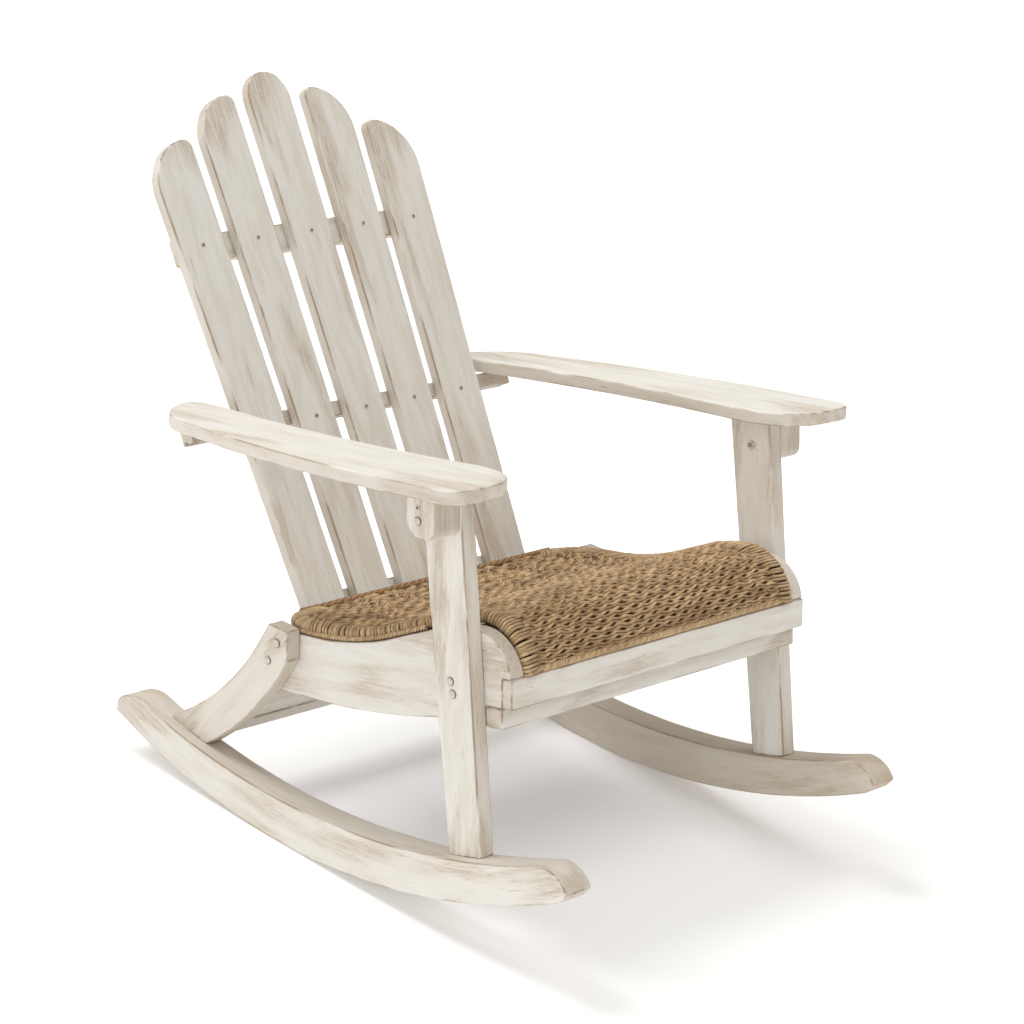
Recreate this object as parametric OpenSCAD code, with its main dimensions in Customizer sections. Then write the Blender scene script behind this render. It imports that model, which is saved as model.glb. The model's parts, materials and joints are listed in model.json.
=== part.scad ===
// Rocking Adirondack chair: slatted fan back, flat arms, curved rockers and a woven seat.
// Millimetres, +Z up. The sitter faces -Y, so the sitter's left is +X.
// The pieces are laid out with the chair rocked forward and its arms nearly level.
// at_rest() then rolls it back on its rockers, to where it balances when nobody sits in it.
// Origin: on the floor, midway between the chair's frontmost and rearmost points.

/* [Rockers] */
// width of one rocker, across the chair
rocker_w = 50; // [40:1:56]
// radius of the arc that rolls on the floor
rocker_r = 977; // [950:1:1000]
// radius of the arc on the rocker's top
rocker_top_r = 1129; // [1120:1:1140]
// how far the chair is rolled back from its level layout, in degrees: it balances at 13.94
rock_back = 13.94; // [0:0.02:16]

/* [Frame boards] */
// thickness of the posts, rear legs and side rails
board_t = 26; // [22:1:28]
// distance from the middle plane to the joint between side rail and post
half_w = 310; // [305:1:315]
// height of the upper front apron
apron_h = 40; // [34:1:40]
// thickness of the upper front apron
apron_t = 16; // [12:1:18]

/* [Arms] */
// thickness of an armrest board
arm_t = 18.5; // [16:0.5:20]
// upward slope of the armrests towards the back, in degrees
arm_slope = 2.34; // [1.8:0.02:2.8]
// height of an armrest's top over the origin
arm_z = 571; // [566:1:576]

/* [Back] */
// how far the back leans from upright, in degrees
recline = 23.2; // [22.8:0.1:23.6]
// thickness of a back slat
slat_t = 15; // [12:1:16]
// distance between slat centrelines at the upper back rail
slat_pitch = 106.8; // [104:0.2:109]
// angle between neighbouring slats, in degrees
slat_fan = 1.35; // [1.1:0.05:1.5]

/* [Woven seat] */
// thickness of the woven panel
seat_t = 16; // [12:1:16.5]
// half width of the panel where it lies on the side rails
seat_half_w = 313; // [311:0.5:314]

/* [Hidden] */
$fn = 48;
gap = 0.5;
hole_gap = 0.15;
far = 2000;

rocker_x = half_w + board_t / 2 + 7;
rocker_c = [-152, rocker_r];
rocker_top_c = [-172, 58.7 + rocker_top_r];
// brings the middle of the chair's length over the origin
rest_shift = 113.65;

rail_in = half_w - board_t;
post_out = half_w + board_t;

back_y = 331.5;
back_z = 790.7;
slat_bottom = -585;
slat_low_w = 67;
slat_high_w = 82;
slat_crowns = [150, 208, 238, 208, 150];
slat_inner_r = 14;

upper_rail_s = -1;
arm_rail_s = -263;
lower_rail_s = -529;
seat_rail_s = -568;
rail_t = 22;
rail_h = 38;
lower_rail_h = 48;
seat_rail_h = 44;
upper_rail_half_len = 240;
arm_rail_half_len = 325;
lower_rail_half_len = 199;

apron_front = -312;
apron_z = 259;
lower_apron_z = 231;
lower_apron_t = 28;

seat_low_z = 318;
seat_rise = 18.4;
seat_back_y = 114;
dip_y = 20;
dip_r = 380;
rise_end_y = -175;
crown_y = -241;
roll_r = 75;

bracket_x = 48;
bracket_y = [-248, -200];
bracket_z = 481;

post_bolts_at = [[-231, 290], [-235, 274]];
leg_bolts_at = [[79, 291], [96, 265]];
bracket_bolt_at = [-220, 505];
bracket_screw_at = [-220, 522];

wood = [0.86, 0.83, 0.76];
straw = [0.66, 0.52, 0.34];
steel = [0.55, 0.54, 0.52];

bolt_r = 3;
bolt_head_r = 6;
bolt_head_h = 2.6;
screw_r = 1.75;
screw_head_r = 3.6;
screw_head_h = 1.2;
arm_screw_r = 2;
nut_r = 6;
nut_t = 5;
dowel_r = 4;

// ---------- helpers ----------

// points on an arc with a given centre, from one angle to another
function arc(c, r, a0, a1, n = 10) =
  [for (i = [0:n]) c + r * [cos(a0 + (a1 - a0) * i / n), sin(a0 + (a1 - a0) * i / n)]];

// centre of the circle through three points
function centre3(p, q, r) =
  let (
    a = p * p, b = q * q, c = r * r,
    d = 2 * (p[0] * (q[1] - r[1]) + q[0] * (r[1] - p[1]) + r[0] * (p[1] - q[1]))
  )
  [
    (a * (q[1] - r[1]) + b * (r[1] - p[1]) + c * (p[1] - q[1])) / d,
    (a * (r[0] - q[0]) + b * (p[0] - r[0]) + c * (q[0] - p[0])) / d
  ];

// points on the arc that starts at p, passes q and ends at r
function arc3(p, q, r, n = 10) =
  let (
    c = centre3(p, q, r),
    a0 = atan2(p[1] - c[1], p[0] - c[0]),
    turn = (q[0] - p[0]) * (r[1] - q[1]) - (q[1] - p[1]) * (r[0] - q[0]),
    sweep = atan2(r[1] - c[1], r[0] - c[0]) - a0,
    full = turn > 0 ? (sweep < 0 ? sweep + 360 : sweep) : (sweep > 0 ? sweep - 360 : sweep)
  )
  arc(c, norm(p - c), a0, a0 + full, n);

// roll the level chair back on the arc under its rockers
module at_rest() {
  translate([0, rest_shift + rocker_c[0], rocker_c[1]]) rotate([-rock_back, 0, 0])
    translate([0, -rocker_c[0], -rocker_c[1]]) children();
}

// extrude a side-view outline, drawn as (y, z), from x0 to x1
module along_x(x0, x1) {
  translate([x0, 0, 0]) rotate([90, 0, 90]) linear_extrude(x1 - x0) children();
}

// the sitter's right side is the mirror image of the left
module on_side(side) {
  mirror([side > 0 ? 0 : 1, 0, 0]) children();
}

// frame of the back: x across, y up the slats, z out of their front faces
module on_back() {
  translate([0, back_y, back_z]) rotate([90 - recline, 0, 0]) children();
}

// frame of an armrest's top face
module on_arm() {
  translate([0, 0, arm_z]) rotate([arm_slope, 0, 0]) children();
}

// fastener along +X, with its domed head's underside at the origin and its shank behind it
module fastener(head_r, head_h, r, len) {
  ball = (head_r * head_r + head_h * head_h) / (2 * head_h);
  rotate([0, 90, 0]) {
    intersection() {
      translate([0, 0, head_h - ball]) sphere(ball);
      cylinder(r = head_r, h = head_h);
    }
    translate([0, 0, -len]) cylinder(r = r, h = len);
  }
}

// drilled hole along X, from x0 to x1
module drill(x0, x1, r) {
  translate([x0, 0, 0]) rotate([0, 90, 0]) cylinder(r = r + hole_gap, h = x1 - x0);
}

// ---------- rockers, posts and rear legs ----------

module rocker_ring() {
  difference() {
    translate(rocker_c) circle(rocker_r, $fn = 720);
    translate(rocker_top_c) circle(rocker_top_r, $fn = 720);
  }
}

module rocker_outline() {
  rear_end = arc3([374, 150], [368.5, 169.5], [350, 177]);
  rear_top = arc3([350, 177], [334, 176.5], [316, 170]);
  front_end = arc3([-388, 81], [-421, 75.5], [-441, 52]);
  intersection() {
    rocker_ring();
    polygon(concat(
      [[300, -10], [366, 100]],
      rear_end,
      rear_top,
      [[300, 240], [-380, 240]],
      front_end,
      [[-424, 36], [-400, -10]]
    ));
  }
}

// everything above the rocker's top arc
module over_rocker() {
  translate(rocker_top_c) circle(rocker_top_r, $fn = 720);
}

// places along the rocker of the screws that come up through its underside
rocker_screws_at = [-265, -243, 230, 250];
rocker_screw_depth = 22;
rocker_screw_len = 52;
rocker_screw_r = 2.5;

module rocker_screw_places() {
  for (y = rocker_screws_at) {
    low = rocker_r - sqrt(pow(rocker_r, 2) - pow(y - rocker_c[0], 2));
    translate([post_out - board_t / 2, y, low + rocker_screw_depth]) rotate([0, 90, 0]) children();
  }
}

module rocker() {
  color(wood) at_rest() difference() {
    along_x(rocker_x - rocker_w / 2, rocker_x + rocker_w / 2) rocker_outline();
    rocker_screw_places() drill(-60, 60, rocker_screw_r);
    rocker_screw_places() drill(-1, 60, 5);
  }
}

module post_outline() {
  intersection() {
    polygon([[-284, 40], [-246.6, 556], [-180, 556], [-229, 40]]);
    over_rocker();
  }
}

module below_armrest() {
  on_arm() translate([-far / 2, -far / 2, -far - arm_t]) cube(far);
}

module side_bolt_holes(places, r) {
  for (p = places) translate([0, p[0], p[1]]) drill(rail_in - 60, post_out + 80, r);
}

module front_post() {
  color(wood) at_rest() difference() {
    intersection() {
      along_x(half_w, post_out) post_outline();
      below_armrest();
    }
    side_bolt_holes(post_bolts_at, bolt_r);
    side_bolt_holes([bracket_bolt_at], bolt_r);
    side_bolt_holes([bracket_screw_at], screw_r);
    rocker_screw_places() drill(-60, 60, rocker_screw_r);
  }
}

module leg_outline() {
  rear_edge = arc3([94, 316], [150, 243], [282, 158]);
  front_edge = arc3([219, 126], [120, 197], [61, 268]);
  intersection() {
    polygon(concat(rear_edge, [[290, 120], [225, 110]], front_edge, [[60, 309]]));
    over_rocker();
  }
}

stretcher_corner = [200, 140];
stretcher_tilt = 45;
stretcher_w = 34;
stretcher_t = 28;

module in_stretcher() {
  along_x(-far / 2, far / 2) translate(stretcher_corner) rotate(stretcher_tilt) children();
}

module dowel_hole_places() {
  for (s = [8, stretcher_w - 8])
    translate([0, stretcher_corner[0], stretcher_corner[1]])
      rotate([stretcher_tilt, 0, 0])
        translate([0, s, stretcher_t / 2])
          children();
}

module rear_leg() {
  color(wood) at_rest() difference() {
    along_x(half_w, post_out) leg_outline();
    side_bolt_holes(leg_bolts_at, bolt_r);
    rocker_screw_places() drill(-60, 60, rocker_screw_r);
    dowel_hole_places() drill(half_w - 1, half_w + 16, dowel_r);
  }
}

// ---------- seat frame ----------

// the seat's curve from back to front, a distance d below the panel's top
function seat_curve(d) =
  let (
    rise_start = [dip_y - dip_r * sin(seat_rise), seat_low_z + dip_r * (1 - cos(seat_rise))],
    crown_r = (rise_end_y - crown_y) / sin(seat_rise),
    rise_end_z = rise_start[1] + (rise_start[0] - rise_end_y) * tan(seat_rise),
    crown_z = rise_end_z + crown_r * (1 - cos(seat_rise))
  )
  concat(
    [[seat_back_y, seat_low_z - d]],
    arc([dip_y, seat_low_z + dip_r], dip_r + d, -90, -90 - seat_rise, 8),
    arc([crown_y, crown_z - crown_r], crown_r - d, 90 - seat_rise, 90, 6),
    arc([crown_y, crown_z - roll_r], roll_r - d, 90, 180, 12)
  );

function reversed(list) = [for (i = [len(list) - 1:-1:0]) list[i]];

module rail_outline() {
  top = [for (p = seat_curve(seat_t + gap)) if (p[0] > crown_y + 4 && p[0] < 90) p];
  nose_c = [-246, 292];
  nose_r = 65;
  nose_end = 180 - asin((apron_z + apron_h - nose_c[1]) / nose_r);
  nose = arc(nose_c, nose_r, 90, nose_end);
  low = arc3([-187, 230], [-40, 215], [108, 221], 12);
  polygon(concat(
    [[92, 301]],
    top,
    nose,
    [
      [apron_front + apron_t, apron_z + apron_h],
      [apron_front + apron_t, apron_z], [-268, apron_z], [-268, lower_apron_z]
    ],
    low,
    [[122, 223], [140, 247], [112, 279]]
  ));
}

module side_rail() {
  color(wood) at_rest() difference() {
    along_x(rail_in, half_w) rail_outline();
    side_bolt_holes(post_bolts_at, bolt_r);
    side_bolt_holes(leg_bolts_at, bolt_r);
    apron_dowel_places() cylinder(r = dowel_r + hole_gap, h = apron_dowel_len);
    crossbar_dowel_places() cylinder(r = dowel_r + hole_gap, h = crossbar_dowel_len);
  }
}

module front_apron_upper() {
  color(wood) at_rest() difference() {
    translate([-half_w, apron_front, apron_z]) cube([2 * half_w, apron_t, apron_h]);
    both_sides() apron_dowel_places() cylinder(r = dowel_r + hole_gap, h = apron_dowel_len);
  }
}

module front_apron_lower() {
  color(wood) at_rest() translate([-half_w, apron_front + apron_t, lower_apron_z])
    cube([2 * half_w, lower_apron_t, apron_z - lower_apron_z]);
}

module both_sides() {
  for (side = [1, -1]) on_side(side) children();
}

module seat_crossbar(y, z, w, h) {
  color(wood) at_rest() difference() {
    translate([-rail_in, y, z - h]) cube([2 * rail_in, w, h]);
    both_sides() crossbar_dowel_places() cylinder(r = dowel_r + hole_gap, h = crossbar_dowel_len);
  }
}

module rear_seat_rail() {
  color(wood) at_rest() difference() {
    on_back() translate([-rail_in, seat_rail_s - seat_rail_h / 2, 0])
      cube([2 * rail_in, seat_rail_h, board_t]);
    both_sides() side_bolt_holes([leg_bolts_at[1]], bolt_r);
    slat_screw_holes(seat_rail_s);
  }
}

module rear_stretcher() {
  color(wood) at_rest() difference() {
    along_x(-half_w, half_w)
      translate(stretcher_corner) rotate(stretcher_tilt) square([stretcher_w, stretcher_t]);
    both_sides() dowel_hole_places() drill(half_w - 24, half_w + 1, dowel_r);
  }
}

// ---------- arms ----------

module armrest_outline() {
  polygon(concat(
    arc3([374, 196], [350, 262], [292, 303], 14),
    arc3([281, 305], [264, 299], [259, 282], 8),
    arc3([263, 235], [285, 0], [273, -232], 14),
    arc3([277, -254], [300, -297], [346, -316], 10),
    arc3([386, -317], [411, -308], [420, -283], 8),
    arc3([421, -235], [404, 44], [381, 166], 14)
  ));
}

// screws that come up into the armrest from its bracket and from the back's rail:
// place across, place along, and how far below the armrest the head sits
armrest_screws_at = [[360, -237, 40], [290, 252, 26], [322, 252, 26]];

module armrest_screw_places() {
  for (p = armrest_screws_at)
    on_arm() translate([p[0], p[1], -arm_t - p[2]]) rotate([0, 90, 0]) children();
}

module armrest_screw_holes() {
  armrest_screw_places() drill(-60, 60, arm_screw_r);
  armrest_screw_places() drill(-1, 60, 4.5);
}

module armrest_screws() {
  color(steel) at_rest() both_sides() for (p = armrest_screws_at)
    on_arm() translate([p[0], p[1], -arm_t - p[2]]) rotate([0, 90, 0])
      fastener(screw_head_r, screw_head_h, arm_screw_r, p[2] + 12);
}

module armrest() {
  color(wood) at_rest() difference() {
    on_arm() translate([0, 0, -arm_t]) linear_extrude(arm_t) armrest_outline();
    for (p = armrest_screws_at)
      on_arm() translate([p[0], p[1], -arm_t - 1]) cylinder(r = arm_screw_r + hole_gap, h = 13);
  }
}

module bracket_outline() {
  y0 = bracket_y[0];
  y1 = bracket_y[1];
  z0 = bracket_z;
  polygon(concat(
    arc([y0 + 15, z0 + 15], 15, 180, 270, 8),
    arc([y1 - 26, z0 + 26], 26, 270, 360, 8),
    [[y1, z0 + 90], [y0, z0 + 90]]
  ));
}

module arm_bracket() {
  color(wood) at_rest() difference() {
    intersection() {
      along_x(post_out, post_out + bracket_x) bracket_outline();
      below_armrest();
    }
    side_bolt_holes([bracket_bolt_at], bolt_r);
    side_bolt_holes([bracket_screw_at], screw_r);
    armrest_screw_holes();
  }
}

// ---------- back ----------

// the outermost slats are wider on each side, and the middle one a little
function slat_extra(k) = abs(k) == 2 ? 4 : k == 0 ? 0.5 : 0;

// half width of slat k at a distance s up from the upper rail
function slat_half_w(k, s) =
  let (u = (s - slat_bottom) / (slat_crowns[2] - slat_bottom))
  (slat_low_w + (slat_high_w - slat_low_w) * u) / 2 + slat_extra(k);

module slat_outline(k) {
  crown = slat_crowns[k + 2];
  w = slat_half_w(k, crown - 40);
  inner = k == 0 ? w : slat_inner_r;
  outer = 2 * w - inner;
  flip = k < 0 ? -1 : 1;
  scale([flip, 1]) polygon(concat(
    [[-slat_half_w(k, slat_bottom), slat_bottom], [slat_half_w(k, slat_bottom), slat_bottom]],
    arc([w - outer, crown - outer], outer, 0, 90, 14),
    arc([inner - w, crown - inner], inner, 90, 180, 10)
  ));
}

module slat_frame(k) {
  translate([k * slat_pitch, 0, 0]) rotate([0, 0, -k * slat_fan]) children();
}

// places on the front faces of all slats, a distance s up the back
module slat_screw_places(s) {
  on_back() for (k = [-2:2]) translate([k * (slat_pitch + s * sin(slat_fan)), s, 0]) children();
}

module slat_screw_holes(s) {
  slat_screw_places(s) cylinder(r = screw_r + hole_gap, h = far, center = true);
}

module back_slat(k) {
  color(wood) at_rest() difference() {
    on_back() slat_frame(k) translate([0, 0, -slat_t]) linear_extrude(slat_t) slat_outline(k);
    for (s = [upper_rail_s, arm_rail_s, lower_rail_s, seat_rail_s])
      slat_screw_holes(s);
  }
}

module back_rail(s, h, half_len) {
  on_back()
    translate([-half_len, s - h / 2, -slat_t - rail_t]) cube([2 * half_len, h, rail_t]);
}

module upper_back_rail() {
  color(wood) at_rest() difference() {
    back_rail(upper_rail_s, rail_h, upper_rail_half_len);
    slat_screw_holes(upper_rail_s);
  }
}

// the rail's lower corners are rounded, because its ends show under the armrests
module arm_rail_outline() {
  corner = 16;
  half = concat(
    [[arm_rail_half_len, rail_h / 2]],
    arc([arm_rail_half_len - corner, corner - rail_h / 2], corner, 0, -90)
  );
  polygon(concat(half, [for (p = reversed(half)) [-p[0], p[1]]]));
}

module arm_back_rail() {
  color(wood) at_rest() difference() {
    intersection() {
      on_back() translate([0, arm_rail_s, -slat_t - rail_t]) linear_extrude(rail_t) arm_rail_outline();
      below_armrest();
    }
    slat_screw_holes(arm_rail_s);
    both_sides() armrest_screw_holes();
  }
}

module lower_back_rail() {
  color(wood) at_rest() difference() {
    back_rail(lower_rail_s, lower_rail_h, lower_rail_half_len);
    slat_screw_holes(lower_rail_s);
  }
}

// ---------- woven seat ----------

module seat_plan() {
  post_y = -180;
  corner = arc3([seat_half_w, 30], [295, 84], [245, seat_back_y], 10);
  beside_post = [[rail_in - gap, -340], [rail_in - gap, post_y - 16], [seat_half_w, post_y + 12]];
  half = concat(beside_post, corner);
  polygon(concat(half, [for (p = reversed(half)) [-p[0], p[1]]]));
}

module woven_seat() {
  color(straw) at_rest() intersection() {
    along_x(-seat_half_w, seat_half_w)
      intersection() {
        polygon(concat(seat_curve(0), reversed(seat_curve(seat_t))));
        translate([-far / 2, apron_z + apron_h + gap]) square(far);
      }
    linear_extrude(far) seat_plan();
  }
}

// ---------- fasteners ----------

module side_bolts(places, x, len) {
  for (p = places) translate([x, p[0], p[1]]) fastener(bolt_head_r, bolt_head_h, bolt_r, len);
}

module side_nuts(places, x) {
  for (p = places)
    translate([x - nut_t, p[0], p[1]]) rotate([0, 90, 0]) difference() {
      cylinder(r = nut_r, h = nut_t, $fn = 6);
      translate([0, 0, -1]) cylinder(r = bolt_r + hole_gap, h = nut_t + 2);
    }
}

module post_bolts() {
  color(steel) at_rest() both_sides() side_bolts(post_bolts_at, post_out, 2 * board_t + 6);
}

module post_bolt_nuts() {
  color(steel) at_rest() both_sides() side_nuts(post_bolts_at, rail_in);
}

module rear_leg_bolts() {
  color(steel) at_rest() both_sides() side_bolts(leg_bolts_at, post_out, 2 * board_t + 6);
}

module rear_leg_bolt_nuts() {
  color(steel) at_rest() both_sides() side_nuts([leg_bolts_at[0]], rail_in);
}

module bracket_bolts() {
  color(steel) at_rest() both_sides()
    side_bolts([bracket_bolt_at], post_out + bracket_x, bracket_x + board_t + 6);
}

module bracket_bolt_nuts() {
  color(steel) at_rest() both_sides() side_nuts([bracket_bolt_at], half_w);
}

module bracket_screws() {
  color(steel) at_rest() both_sides()
    translate([post_out + bracket_x, bracket_screw_at[0], bracket_screw_at[1]])
      fastener(screw_head_r, screw_head_h, screw_r, bracket_x + 18);
}

module slat_screws(s) {
  color(steel) at_rest() slat_screw_places(s) rotate([0, -90, 0])
    fastener(screw_head_r, screw_head_h, screw_r, slat_t + 16);
}

// these go the other way, from the slats' rear faces into the seat's rear rail
module seat_rail_screws() {
  color(steel) at_rest() on_back() for (k = [-2:2])
    translate([k * (slat_pitch + seat_rail_s * sin(slat_fan)), seat_rail_s, -slat_t])
      rotate([0, 90, 0]) fastener(screw_head_r, screw_head_h, screw_r, slat_t + 18);
}

// blind wooden dowels: heights in the apron, and places (y, z) in the ends of the two crossbars
apron_dowels_at = [269, 289];
apron_dowel_len = 26;
crossbar_dowels_at = [[-251, 336], [-231, 336], [-62, 292], [-48, 292]];
crossbar_dowel_len = 36;

module apron_dowel_places() {
  for (z = apron_dowels_at)
    translate([half_w - board_t / 2, apron_front + 6, z]) rotate([-90, 0, 0]) children();
}

module crossbar_dowel_places() {
  for (p = crossbar_dowels_at)
    translate([rail_in - 22, p[0], p[1]]) rotate([0, 90, 0]) children();
}

module apron_dowels() {
  color(wood) at_rest() both_sides() apron_dowel_places() cylinder(r = dowel_r, h = apron_dowel_len);
}

module crossbar_dowels() {
  color(wood) at_rest() both_sides() crossbar_dowel_places()
    cylinder(r = dowel_r, h = crossbar_dowel_len);
}

module rocker_screws() {
  color(steel) at_rest() both_sides() rocker_screw_places()
    fastener(4.5, 1.5, rocker_screw_r, rocker_screw_len);
}

module stretcher_dowels() {
  color(wood) at_rest() both_sides() dowel_hole_places()
    translate([half_w - 22, 0, 0]) rotate([0, 90, 0]) cylinder(r = dowel_r, h = 37);
}

// ---------- the nodes ----------

on_side(1) rocker();  // rocker_left
on_side(-1) rocker();  // rocker_right
on_side(1) front_post();  // front_post_left
on_side(-1) front_post();  // front_post_right
on_side(1) rear_leg();  // rear_leg_left
on_side(-1) rear_leg();  // rear_leg_right
on_side(1) side_rail();  // side_rail_left
on_side(-1) side_rail();  // side_rail_right
front_apron_upper();
front_apron_lower();
rear_stretcher();
rear_seat_rail();
seat_crossbar(-261, 351, 40, 30);  // seat_crossbar_front
seat_crossbar(-70, 304, 30, 24);  // seat_crossbar_middle
on_side(1) armrest();  // armrest_left
on_side(-1) armrest();  // armrest_right
on_side(1) arm_bracket();  // arm_bracket_left
on_side(-1) arm_bracket();  // arm_bracket_right
back_slat(-2);  // back_slat_1
back_slat(-1);  // back_slat_2
back_slat(0);  // back_slat_3
back_slat(1);  // back_slat_4
back_slat(2);  // back_slat_5
upper_back_rail();
arm_back_rail();
lower_back_rail();
woven_seat();
post_bolts();
post_bolt_nuts();
rear_leg_bolts();
rear_leg_bolt_nuts();
bracket_bolts();
bracket_bolt_nuts();
bracket_screws();
slat_screws(upper_rail_s);  // upper_slat_screws
slat_screws(arm_rail_s);  // middle_slat_screws
slat_screws(lower_rail_s);  // lower_slat_screws
seat_rail_screws();
armrest_screws();
rocker_screws();
apron_dowels();
crossbar_dowels();
stretcher_dowels();
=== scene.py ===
import json
import math
import random

import bmesh
import bpy
import numpy as np
from mathutils import Matrix, Vector, geometry, noise

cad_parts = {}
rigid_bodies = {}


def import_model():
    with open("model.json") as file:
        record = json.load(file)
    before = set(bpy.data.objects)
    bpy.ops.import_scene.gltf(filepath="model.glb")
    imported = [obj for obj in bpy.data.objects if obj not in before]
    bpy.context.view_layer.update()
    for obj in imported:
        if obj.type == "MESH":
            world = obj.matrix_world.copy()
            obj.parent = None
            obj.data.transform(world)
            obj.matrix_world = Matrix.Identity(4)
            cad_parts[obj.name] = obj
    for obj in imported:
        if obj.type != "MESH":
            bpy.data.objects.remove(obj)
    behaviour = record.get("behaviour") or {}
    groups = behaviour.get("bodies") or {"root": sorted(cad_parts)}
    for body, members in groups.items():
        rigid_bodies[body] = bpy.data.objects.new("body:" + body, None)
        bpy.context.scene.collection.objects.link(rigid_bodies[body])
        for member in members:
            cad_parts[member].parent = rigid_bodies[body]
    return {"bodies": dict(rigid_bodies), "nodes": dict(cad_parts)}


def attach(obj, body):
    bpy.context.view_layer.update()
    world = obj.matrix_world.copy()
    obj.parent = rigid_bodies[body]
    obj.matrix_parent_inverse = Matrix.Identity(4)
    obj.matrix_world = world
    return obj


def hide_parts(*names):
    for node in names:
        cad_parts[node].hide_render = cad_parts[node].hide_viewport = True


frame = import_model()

NODES = frame["nodes"]
KEPT = set(NODES.values()) | set(frame["bodies"].values())
for stray in [o for o in bpy.data.objects if o not in KEPT]:
    bpy.data.objects.remove(stray)
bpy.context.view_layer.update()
random.seed(7)

# ---------- how the chair stands ----------

# the level layout is rolled back by ROCK_BACK round ROCKER_CENTRE and shifted along the floor
ROCK_BACK = math.radians(13.94)
ROCKER_CENTRE = Vector((0, -0.152, 0.977))
REST_SHIFT = Vector((0, 0.11365, 0))
AT_REST = (
    Matrix.Translation(REST_SHIFT + ROCKER_CENTRE)
    @ Matrix.Rotation(-ROCK_BACK, 4, "X")
    @ Matrix.Translation(-ROCKER_CENTRE)
)
LEVEL = AT_REST.inverted()

RECLINE = math.radians(23.2)
ARM_SLOPE = math.radians(2.34)
STRETCHER_TILT = math.radians(45)

ACROSS = Vector((1, 0, 0))
DEEP = Vector((0, 1, 0))
UP = Vector((0, 0, 1))
BACK_OUT = Vector((0, -math.cos(RECLINE), math.sin(RECLINE)))
BACK_UP = Vector((0, math.sin(RECLINE), math.cos(RECLINE)))
ARM_OUT = Vector((0, -math.sin(ARM_SLOPE), math.cos(ARM_SLOPE)))
ARM_BACK = Vector((0, math.cos(ARM_SLOPE), math.sin(ARM_SLOPE)))
STRETCHER_OUT = Vector((0, -math.sin(STRETCHER_TILT), math.cos(STRETCHER_TILT)))
LEG_DOWN = Vector((0, 0.76, -0.65)).normalized()

# ---------- sizes ----------

# points of the CAD meshes closer than WELD are one point, and TINY keeps divisions off zero
WELD = 1e-5
TINY = 1e-9

# radius of a board's edges, size of the fillets in its outline, and a rounded edge's steps
ROUND_OVER = 0.0018
ARM_ROUND_OVER = 0.0030
CORNER = 0.0035
EDGE_ANGLES = [math.radians(a) for a in (90, 60, 30, 0)]

# an outline's turns: one under STRAIGHT is dropped, one over SHARP_TURN gets a fillet and the
# rest get curves, with a point every CURVE_STEP degrees and no side under SHORTEST_SIDE
STRAIGHT = math.radians(0.1)
SHARP_TURN = math.radians(25)
CURVE_STEP = 12
SHORTEST_SIDE = 2e-4

# spacing of a board's points: along its outline, over its flat faces, and beside their rim
OUTLINE_STEP = 0.008
FILL_STEP = 0.010
EDGE_BAND = 0.004

# depth of the dents in the edges and of the ripple in the faces, and how fine they are
DENT = 0.0004
DENT_SCALE = 38
RIPPLE = 0.00025
RIPPLE_SCALE = 11


# ---------- meshes ----------

def level_verts(node):
    """A CAD node as a welded bmesh, in the level layout."""
    bm = bmesh.new()
    bm.from_mesh(NODES[node].data)
    bm.transform(LEVEL)
    bmesh.ops.remove_doubles(bm, verts=bm.verts, dist=WELD)
    bm.normal_update()
    return bm


def show(obj):
    bpy.context.scene.collection.objects.link(obj)


def make_object(name, verts, faces, attributes, material):
    """A smooth mesh object with point attributes, rolled to where the frame stands."""
    mesh = bpy.data.meshes.new(name)
    mesh.from_pydata([tuple(v) for v in verts], [], faces)
    for key, values in attributes.items():
        values = np.asarray(values, np.float32)
        kind = "FLOAT_VECTOR" if values.ndim == 2 else "FLOAT"
        layer = mesh.attributes.new(key, kind, "POINT")
        layer.data.foreach_set("vector" if values.ndim == 2 else "value", values.ravel())
    mesh.shade_smooth()
    mesh.materials.append(material)
    mesh.transform(AT_REST)
    obj = bpy.data.objects.new(name, mesh)
    show(obj)
    return obj


def stacked_rings(base, count, rings):
    """Faces between closed rings of count points each, one on the other, the first at base."""
    faces = []
    for ring in range(rings - 1):
        start = base + ring * count
        for i in range(count):
            j = (i + 1) % count
            faces.append((start + i, start + j, start + count + j, start + count + i))
    return faces


def finish_piece(obj, slot, *nodes):
    """Hangs a piece on the chair's one body, in place of its CAD nodes."""
    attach(obj, "root")
    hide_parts(*nodes)


# ---------- outlines ----------

def cap_outline(bm, axis, first, second):
    """Outer edge of the flat face that looks along axis, as points in a plane, anticlockwise."""
    square_on, same_plane = 0.999, 5e-5
    top = max(v.co.dot(axis) for v in bm.verts)
    facing = [f for f in bm.faces if f.normal.dot(axis) > square_on]
    cap = {f for f in facing if abs(f.calc_center_median().dot(axis) - top) < same_plane}
    after = {}
    for face in cap:
        for loop in face.loops:
            if not any(other in cap for other in loop.edge.link_faces if other is not face):
                after[loop.vert] = loop.link_loop_next.vert
    rings = []
    while after:
        here = next(iter(after))
        ring = []
        while here in after:
            ring.append(here)
            here = after.pop(here)
        rings.append([(v.co.dot(first), v.co.dot(second)) for v in ring])
    best = max(rings, key=lambda ring: np.ptp(np.array(ring), axis=0).sum())
    points = np.array(best)
    return points if signed_area(points) > 0 else points[::-1]


def signed_area(points):
    """Area inside an outline, negative where it runs clockwise."""
    x, y = points[:, 0], points[:, 1]
    return 0.5 * float(np.sum(x * np.roll(y, -1) - np.roll(x, -1) * y))


def turns(points):
    """How far the outline turns at each point, in radians."""
    back = points - np.roll(points, 1, axis=0)
    ahead = np.roll(points, -1, axis=0) - points
    cross = back[:, 0] * ahead[:, 1] - back[:, 1] * ahead[:, 0]
    return np.abs(np.arctan2(cross, (back * ahead).sum(1)))


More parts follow.
